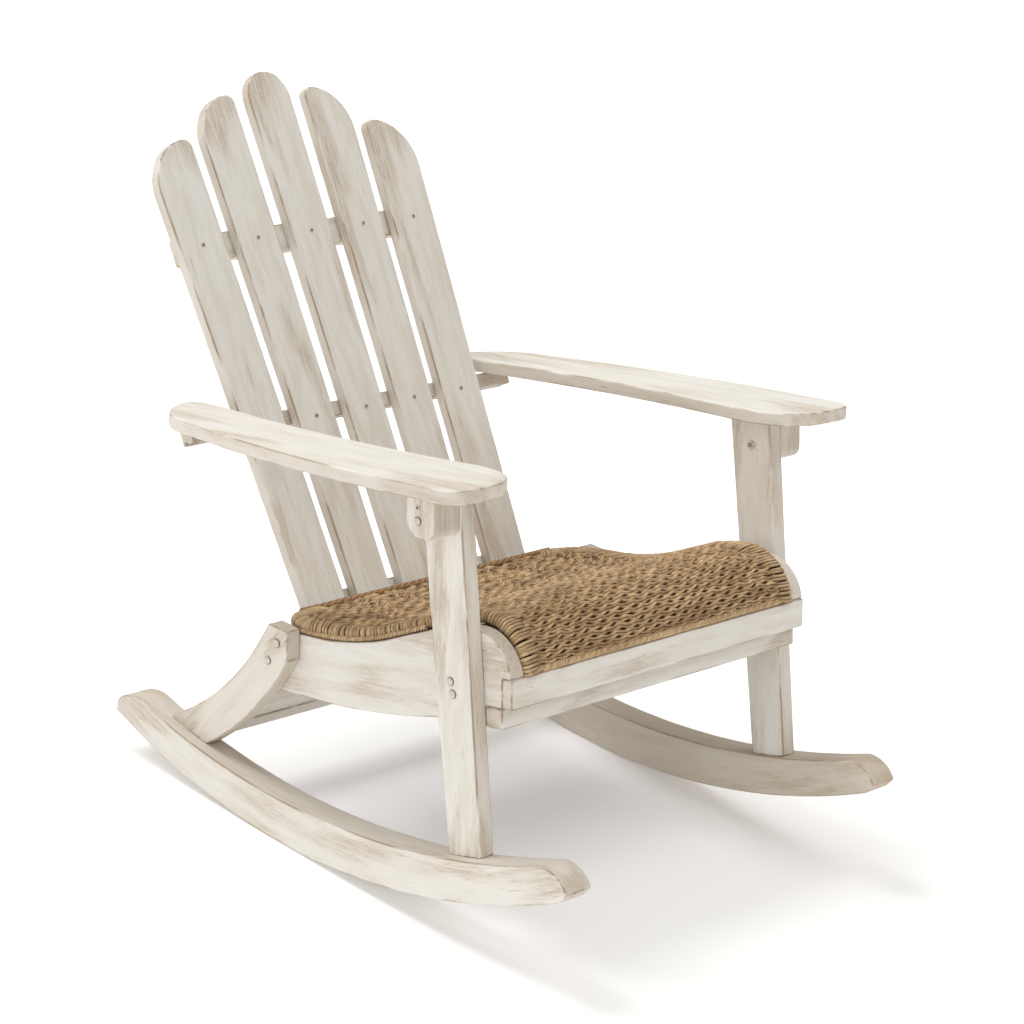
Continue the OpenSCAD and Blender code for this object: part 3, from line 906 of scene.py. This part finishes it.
class Strands:
    """Collects tubes into one mesh, with each point's place on its strand."""

    def __init__(self, sides):
        self.sides = sides
        self.verts, self.faces, self.strand, self.painted_shade = [], [], [], []
        self.count = 0

    def add(self, points, normals, width, height, painted_shade=0.0):
        """One tube along points. Its section is an oval with its height along the normals.

        The last argument is how much shade is painted on each point of the strand, from 0 to 1.
        """
        points, normals = np.asarray(points), np.asarray(normals)
        n = len(points)
        tangent = np.gradient(points, axis=0)
        tangent /= np.linalg.norm(tangent, axis=1)[:, None]
        across = np.cross(tangent, normals)
        across /= np.linalg.norm(across, axis=1)[:, None]
        outward = np.cross(across, tangent)
        width, height, painted_shade = (np.broadcast_to(v, n) for v in (width, height, painted_shade))
        along = np.concatenate([[0], np.cumsum(np.linalg.norm(np.diff(points, axis=0), axis=1))])
        start = random.uniform(0, 5)
        tone = random.uniform(0, 40)
        for k in range(self.sides):
            angle = 2 * math.pi * k / self.sides
            ring = points + across * (width * math.cos(angle))[:, None]
            ring = ring + outward * (height * math.sin(angle))[:, None]
            self.verts.append(ring)
            place = np.stack([along + start, np.full(n, k / self.sides), np.full(n, tone)], 1)
            self.strand.append(place)
            # painted shade on the underside of each tube, added to the shade it is given
            under = 0.5 - 0.5 * math.sin(angle)
            self.painted_shade.append(np.clip(painted_shade + SHADE * under ** SHADE_POWER, 0, 1))
        base = self.count
        for k in range(self.sides):
            a = base + k * n
            b = base + (k + 1) % self.sides * n
            self.faces += [(b + i, a + i, a + i + 1, b + i + 1) for i in range(n - 1)]
        self.faces.append(tuple(base + k * n for k in range(self.sides)))
        self.faces.append(tuple(base + k * n + n - 1 for k in reversed(range(self.sides))))
        self.count += self.sides * n

    def build(self, name, material):
        """The collected tubes as one object."""
        attributes = {"strand": np.concatenate(self.strand), "painted_shade": np.concatenate(self.painted_shade)}
        return make_object(name, np.concatenate(self.verts), self.faces, attributes, material)


def noise_along(x, s, across_scale, along_scale, layer):
    """Noise at each x of a row. Each layer has its own."""
    return np.array([noise.noise(Vector((a * across_scale, s * along_scale, layer))) for a in x])


def drift(x, s):
    """How far the rows wander along the seat. They swing to and fro, less at the front."""
    loose = np.interp(s, ROWS_TIGHTEN, (1.0, 0.2))
    wander = noise_along(x, s, 7, 8, 1.7)
    rough = noise_along(x, s, 26, 18, 8.1)
    swing = np.sin(2 * math.pi * x / SWING_LEN + 5 * wander + 9 * s)
    return loose * (SWING * swing + WANDER * wander + ROUGH * rough)


def lumps(x, s):
    """How far each point of a row stands up, from about -1 to 1. Nearly flat at the front."""
    loose = np.interp(s, LUMPS_FADE, (1.0, 0.25))
    strength = 1.8
    return loose * noise_along(x, s, 62, 34, 3.3) * strength


def weft_rows(places, first):
    """Pairs of strands across the seat. Neighbouring pairs meet and part, leaving slits.

    first is the number of the first row, so that the pattern runs on between two pieces.
    """
    rows = Strands(7)
    for i, s in enumerate(places, first):
        half = half_width(s) - BAND
        x = np.linspace(-half, half, int(2 * half / ROW_STEP))
        fade = min(1, min(s, SEAT_LEN - s) / CALM_EDGE)
        at = s + drift(x, s) * fade
        uneven = random.uniform(-0.5, 0.5) + 0.9 * np.sin(x * random.uniform(15, 30) + s * 40)
        phase = 2 * math.pi * x / STITCH + math.pi * i + uneven
        sunk = 1 - np.clip((half - np.abs(x)) / ROW_END, 0, 1)
        lump = lumps(x, s)
        h = WEFT_H0 + LIFT * np.sin(phase) + LUMP * lump - ROW_END_DROP * sunk
        # painted shade at the rows' sunk ends, in their dips and below their lumps
        painted_shade = END_SHADE * sunk + DIP_SHADE * (1 - np.sin(phase))
        painted_shade += np.clip(-LUMP_SHADE * lump, 0, LUMP_SHADE_MOST)
        for side in (-1, 1):
            apart = side * ROW_PITCH / 4 + SWAY * np.cos(phase)
            height = h + TREMOR * np.sin(x * random.uniform(90, 160) + side)
            points, normals = on_seat(x, at + apart, height)
            plump = random.uniform(*PLUMPNESS)
            # more painted shade on the side of a strand that borders a slit
            beside_slit = np.clip(-side * np.cos(phase), 0, 1) ** 2
            dark = painted_shade + SLIT_SHADE * beside_slit
            rows.add(points, normals, WEFT_W * plump, WEFT_H * plump, dark)
    return rows


def seat_core(material):
    """Painted shade: a thin dark sheet inside the weave, so that no light shows between strands.
    """
    across, down = 40, 90
    verts, faces = [], []
    for height in (CORE_TOP, CORE_LOW):
        for s in np.linspace(CORE_END_GAP, SEAT_LEN - CORE_END_GAP, down + 1):
            half = half_width(s) - CORE_SIDE_GAP
            points, _ = on_seat(np.linspace(-half, half, across + 1), s, height)
            verts.append(points)
    sheet = (across + 1) * (down + 1)
    for row in range(down):
        for k in range(across):
            a = row * (across + 1) + k
            b = a + across + 1
            faces.append((a, b, b + 1, a + 1))
            faces.append((sheet + a, sheet + a + 1, sheet + b + 1, sheet + b))
    rim = list(range(across))
    rim += [row * (across + 1) + across for row in range(down)]
    rim += [down * (across + 1) + k for k in range(across, 0, -1)]
    rim += [row * (across + 1) for row in range(down, 0, -1)]
    for a, b in zip(rim, rim[1:] + rim[:1]):
        faces.append((a, b, sheet + b, sheet + a))
    return make_object("seat_core", np.concatenate(verts), faces, {}, material)


def edge_path():
    """The seat's side edge as (x, s), from the front apron to the back corner, evenly spaced."""
    front_gap, samples = 0.002, 500
    s = np.linspace(SEAT_LEN - front_gap, 0.0, samples)
    path = np.stack([[half_width(a) for a in s], s], 1)
    smooth = path.copy()
    reach = 4
    kernel = np.ones(2 * reach + 1) / (2 * reach + 1)
    smooth[reach:-reach, 0] = np.convolve(path[:, 0], kernel, "valid")
    steps = np.linalg.norm(np.diff(smooth, axis=0), axis=1)
    at = np.concatenate([[0], np.cumsum(steps)])
    even = np.linspace(0, at[-1], int(at[-1] / WRAP_PITCH))
    return np.stack([np.interp(even, at, smooth[:, 0]), np.interp(even, at, smooth[:, 1])], 1)


# a wrap's path round the edge, first over its top and then round its side and underneath:
# share of its reach inwards, and height over the seat's top face
WRAP_OVER = [
    (1.00, -0.0060), (0.86, -0.0028), (0.62, -0.0012), (0.36, -0.0006), (0.20, -0.0012),
]
WRAP_UNDER = [
    (0.10, -0.0028), (0.060, -0.0052), (0.09, -0.0076), (0.22, -0.0092), (0.44, -0.0100),
    (0.74, -0.0102), (1.00, -0.0098),
]


def rim_wraps():
    """Strands bound side by side over the seat's side edges."""
    wraps = Strands(8)
    path = edge_path()
    jog = along_at(JOG_Y[0])
    ahead = np.gradient(path, axis=0)
    ahead /= np.linalg.norm(ahead, axis=1)[:, None]
    inward = np.stack([ahead[:, 1], -ahead[:, 0]], 1)
    inward *= np.sign(-inward[:, :1] + TINY)
    share = np.array([inwards for inwards, _ in WRAP_OVER + WRAP_UNDER])
    over = np.array([height for _, height in WRAP_OVER])
    under = np.array([height for _, height in WRAP_UNDER])
    for side in (-1, 1):
        for at, into, on in zip(path, inward, ahead):
            reach = random.uniform(*WRAP_REACH)
            slant = np.interp(at[1], [jog - 0.06, jog + 0.03], [WRAP_LEAN, 0.1 * WRAP_LEAN])
            lean = slant * share + random.uniform(-WRAP_LEAN_SPREAD, WRAP_LEAN_SPREAD)
            x = at[0] + into[0] * share * reach + on[0] * lean
            s = at[1] + into[1] * share * reach + on[1] * lean
            deeper = np.interp(at[1], [jog - 0.02, jog + 0.02], [1.0, WRAP_DEEPER])
            h = np.concatenate([over, under * deeper])
            points, _ = on_seat(side * x, np.clip(s, WRAP_BACK_GAP, SEAT_LEN), h)
            fine = refine(points, 3)
            place = np.linspace(0, 1, len(fine))
            turning = math.pi * place
            outward = np.stack([side * np.sin(turning), np.zeros(len(fine)), np.cos(turning)], 1)
            # painted shade where a wrap tucks in over the top and where it runs underneath
            tucked_in = np.clip(1 - 5 * place, 0, 1)
            underneath = np.clip(4 * place - 1.9, 0, 1)
            dark = 0.7 * (tucked_in + underneath)
            width = WRAP_R * random.uniform(*PLUMPNESS)
            wraps.add(fine, outward, width, WRAP_R * 0.95, dark)
    return wraps


def refine(points, pieces):
    """A smooth curve through points, with so many pieces in each stretch."""
    ends = np.concatenate([[2 * points[0] - points[1]], points, [2 * points[-1] - points[-2]]])
    out = []
    for a, b, c, d in zip(ends, ends[1:], ends[2:], ends[3:]):
        for k in range(pieces):
            t = k / pieces
            out.append(0.5 * (2 * b + (c - a) * t + (2 * a - 5 * b + 4 * c - d) * t ** 2
                              + (3 * b - a - 3 * c + d) * t ** 3))
    out.append(points[-1])
    return np.array(out)


def rope(strands, points, normals, radius):
    """Lays the plies of a twisted rope along points."""
    length = np.concatenate([[0], np.cumsum(np.linalg.norm(np.diff(points, axis=0), axis=1))])
    count = int(length[-1] / ROPE_PITCH * ROPE_STEPS)
    even = np.linspace(0, length[-1], count)
    centre = np.stack([np.interp(even, length, points[:, i]) for i in range(3)], 1)
    normal = np.stack([np.interp(even, length, normals[:, i]) for i in range(3)], 1)
    normal /= np.linalg.norm(normal, axis=1)[:, None]
    tangent = np.gradient(centre, axis=0)
    tangent /= np.linalg.norm(tangent, axis=1)[:, None]
    across = np.cross(tangent, normal)
    for ply in range(ROPE_PLIES):
        angle = 2 * math.pi * (even / ROPE_PITCH + ply / ROPE_PLIES)
        offset = across * np.cos(angle)[:, None] + normal * np.sin(angle)[:, None]
        dark = np.clip(-np.sin(angle), 0, 1) * PLY_SHADE
        path = centre + offset * radius * PLY_OUT
        strands.add(path, offset, radius * PLY_W, radius * PLY_H, dark)


def borders():
    """The ropes along the seat's sides and along its front edge."""
    ropes = Strands(6)
    path = edge_path()[::-1]
    jog = along_at(JOG_Y[0])
    path = path[path[:, 1] < jog]
    # the side ropes start high at the back corners and then run along the seat's lower edge
    height = np.interp(path[:, 1], [0.0, 0.030], [-0.0062, -0.0116])
    left, left_n = on_seat(path[:, 0] - ROPE_R, np.maximum(path[:, 1], 0.0045), height)
    rope(ropes, left, left_n, ROPE_R)
    rope(ropes, left * [-1, 1, 1], left_n, ROPE_R)
    reach = SEAT_FRONT_HALF_W - 0.004
    front, front_n = on_seat(np.linspace(-reach, reach, 80), SEAT_LEN - FRONT_ROPE_R, -0.0046)
    rope(ropes, front, front_n, FRONT_ROPE_R)
    return ropes


def back_rope():
    """The reddish rope along the seat's back edge."""
    ropes = Strands(6)
    reach = CORNER_END_X + 0.012
    x = np.linspace(-reach, reach, 60)
    back, back_n = on_seat(x, BACK_ROPE_R, -BACK_ROPE_R + BACK_ROPE_RISE)
    rope(ropes, back, back_n, BACK_ROPE_R)
    return ropes


def woven_seat():
    """Rows, core, bound rim and ropes, all in place of the CAD's one panel."""
    weave = rush("rush_weave", RUSH_PALE, RUSH_MID, 0.12)
    rim = rush("rush_rim", RIM_PALE, RIM_MID, 0.2)
    last = SEAT_LEN - FRONT_GAP
    places = np.linspace(BACK_GAP, last, round((last - BACK_GAP) / ROW_PITCH))
    middle = len(places) // 2
    pieces = [
        weft_rows(places[:middle], 0).build("seat_rear_rows", weave),
        weft_rows(places[middle:], middle).build("seat_front_rows", weave),
        seat_core(rush_core_shade()),
        rim_wraps().build("seat_rim_wraps", rim),
        borders().build("seat_border_ropes", rim),
        back_rope().build("seat_back_rope", rush("rush_back", RUSH_MID, RUSH_RED, 0.6)),
    ]
    for piece in pieces:
        finish_piece(piece, "woven_rush", "woven_seat")


# ---------- the chair ----------

def wooden_pieces():
    """Every board, with the direction it faces and the direction of its grain."""
    wood = whitewash()
    for side in ("left", "right"):
        board(f"rocker_{side}", ACROSS, DEEP, wood, bend=along_rocker)
        board(f"front_post_{side}", ACROSS, UP, wood)
        board(f"rear_leg_{side}", ACROSS, LEG_DOWN, wood)
        board(f"side_rail_{side}", ACROSS, DEEP, wood)
        board(f"armrest_{side}", ARM_OUT, ARM_BACK, wood, ARM_ROUND_OVER)
        board(f"arm_bracket_{side}", ACROSS, UP, wood)
    for number in range(1, 6):
        board(f"back_slat_{number}", BACK_OUT, BACK_UP, wood)
    for node in ("upper_back_rail", "lower_back_rail", "rear_seat_rail"):
        board(node, BACK_OUT, ACROSS, wood)
    for node in ("front_apron_upper", "front_apron_lower"):
        board(node, -DEEP, ACROSS, wood)
    for node in ("seat_crossbar_front", "seat_crossbar_middle"):
        board(node, UP, ACROSS, wood)
    board("rear_stretcher", STRETCHER_OUT, ACROSS, wood)
    board("arm_back_rail", ACROSS, ACROSS, wood)


def metal_pieces():
    """Bolts, slat screws and bracket screws get turned heads. The rest keep their CAD shapes."""
    metal = steel()
    for node in ("post_bolts", "rear_leg_bolts", "bracket_bolts"):
        fasteners(node, ACROSS, BOLT_HEAD, BOLT_SIZES, metal)
    fasteners("bracket_screws", ACROSS, SCREW_HEAD, SCREW_SIZES, metal)
    for node in ("upper_slat_screws", "middle_slat_screws", "lower_slat_screws"):
        fasteners(node, BACK_OUT, SCREW_HEAD, SCREW_SIZES, metal)
    for node in NODES:
        if node.endswith(("_nuts", "_screws")):
            NODES[node].data.materials[0] = metal
    dowels = plain_wood()
    for node in ("apron_dowels", "crossbar_dowels", "stretcher_dowels"):
        NODES[node].data.materials[0] = dowels


# ---------- floor, light and camera ----------

FLOOR_GREY = (0.88, 0.88, 0.88, 1)
FLOOR_PALE = (0.90, 0.90, 0.90, 1)
FLOOR_RADIUS = 30


def floor():
    """A plain pale floor under the rockers."""
    material, tree, shader = new_material("floor_paint")
    cloud = stretched_noise(tree, position(tree), (0.8, 0.8, 0.8), 2.0)
    colour = blend_colour(tree, ramp(tree, cloud, 0.3, 0.7), FLOOR_GREY, FLOOR_PALE)
    tree.links.new(colour, shader.inputs["Base Color"])
    matt(shader, 0.9, 0.0)
    shader.inputs["Emission Color"].default_value = (1, 1, 1, 1)
    shader.inputs["Emission Strength"].default_value = 0.20
    bm = bmesh.new()
    bmesh.ops.create_circle(bm, cap_ends=True, segments=96, radius=FLOOR_RADIUS)
    mesh = bpy.data.meshes.new("floor")
    bm.to_mesh(mesh)
    bm.free()
    mesh.materials.append(material)
    obj = bpy.data.objects.new("floor", mesh)
    show(obj)


def sun(name, towards, strength, spread, colour):
    """A soft distant light. towards points to it in the level layout, and spread is in degrees."""
    data = bpy.data.lights.new(name, "SUN")
    data.energy = strength
    data.color = colour
    data.angle = math.radians(spread)
    obj = bpy.data.objects.new(name, data)
    obj.rotation_mode = "QUATERNION"
    direction = AT_REST.to_3x3() @ Vector(towards)
    obj.rotation_quaternion = direction.to_track_quat("Z", "Y")
    show(obj)


def sky(light, seen):
    """An even pale surround of strength light. The camera sees it with strength seen, as white."""
    world = bpy.data.worlds.new("surround")
    bpy.context.scene.world = world
    world.use_nodes = True
    tree = world.node_tree
    tree.nodes.clear()
    out = tree.nodes.new("ShaderNodeOutputWorld")
    shader = tree.nodes.new("ShaderNodeBackground")
    shader.inputs["Color"].default_value = (1, 0.965, 0.915, 1)
    path = tree.nodes.new("ShaderNodeLightPath")
    strength = tree.nodes.new("ShaderNodeMapRange")
    strength.inputs["To Min"].default_value = light
    strength.inputs["To Max"].default_value = seen
    tree.links.new(path.outputs["Is Camera Ray"], strength.inputs["Value"])
    tree.links.new(strength.outputs[0], shader.inputs["Strength"])
    tree.links.new(shader.outputs[0], out.inputs[0])


CAMERA_AT = Vector((-3.6808, -3.2303, 1.4336))
CAMERA_AZIMUTH = math.radians(-49.12)
CAMERA_ELEVATION = math.radians(11.61)
LENS_MM = 127.65


def camera():
    """Looks at the level layout from its front right, and is rolled back with the chair."""
    data = bpy.data.cameras.new("camera")
    data.lens = LENS_MM
    data.sensor_width = 36
    obj = bpy.data.objects.new("camera", data)
    away = Vector((
        math.sin(CAMERA_AZIMUTH) * math.cos(CAMERA_ELEVATION),
        -math.cos(CAMERA_AZIMUTH) * math.cos(CAMERA_ELEVATION),
        math.sin(CAMERA_ELEVATION),
    ))
    turned = (-away).to_track_quat("-Z", "Y").to_matrix().to_4x4()
    obj.matrix_world = AT_REST @ Matrix.Translation(CAMERA_AT) @ turned
    show(obj)
    bpy.context.scene.camera = obj


wooden_pieces()
metal_pieces()
woven_seat()
floor()
sun("key", towards=(-0.16, 0.36, 0.92), strength=1.80, spread=28, colour=(0.97, 0.985, 1.0))
sun("side_fill", towards=(-0.92, -0.18, 0.34), strength=0.95, spread=70, colour=(1, 1, 1))
sun("front_fill", towards=(0.20, -0.58, 0.79), strength=1.02, spread=50, colour=(1, 0.99, 0.97))
sky(light=0.33, seen=1.15)
camera()
bpy.context.scene.view_settings.view_transform = "Standard"
